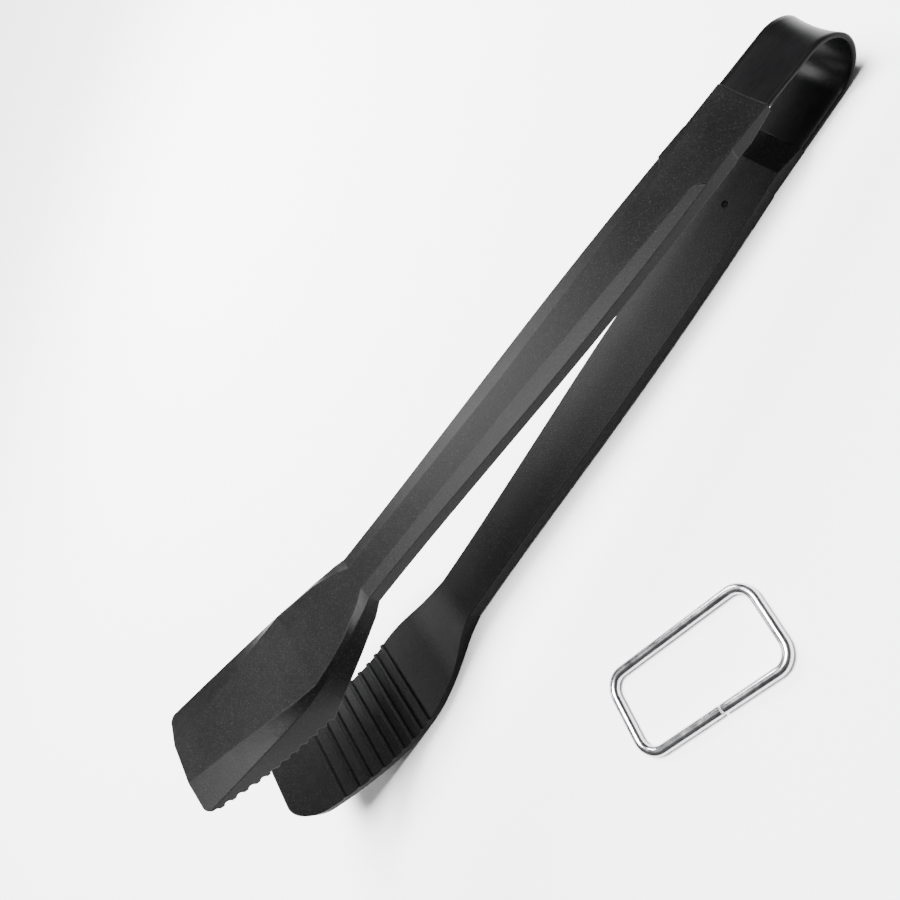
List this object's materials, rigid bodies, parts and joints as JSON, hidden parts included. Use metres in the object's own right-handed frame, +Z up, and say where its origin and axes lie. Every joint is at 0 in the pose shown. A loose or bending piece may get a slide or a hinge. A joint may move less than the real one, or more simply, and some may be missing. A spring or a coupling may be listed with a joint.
{
  "type": "spring loaded kitchen tongs",
  "caption": "Black kitchen tongs with a springy bow, a ribbed scoop jaw under a toothed cap jaw, and a loose rectangular locking ring.",
  "frame": {"origin": "on the lower arm's flat outer face, half way along the tongs", "axes": "+Z up and away from the resting face, +X along the tongs towards the jaws"},
  "size_m": [0.3075, 0.1222, 0.0784],
  "materials": {
    "arm_plastic": "fine speckled black nylon",
    "spring_black": "glossy black coating",
    "pin_steel": "darkened steel",
    "ring_wire": "bright plated wire"
  },
  "bodies": {
    "lower": {"lower_arm": "arm_plastic", "bow_spring": "spring_black", "lower_pin": "pin_steel"},
    "upper": {"upper_arm": "arm_plastic", "upper_pin": "pin_steel"},
    "ring": {"locking_ring": "ring_wire"}
  },
  "joints": [
    {"name": "squeeze", "type": "hinge", "parent": "lower", "child": "upper", "pos_m": [-0.1378, 0, 0.0122], "axis": [0, 1, 0], "range_deg": [0, 10.2], "stiffness_Nm_per_rad": 4, "springref_deg": -1.72, "deforming": ["bow_spring"]},
    {"name": "ring_lift", "type": "slide", "parent": "lower", "child": "ring", "axis": [0, 0, 1], "range_m": [0, 0.12]}
  ]
}
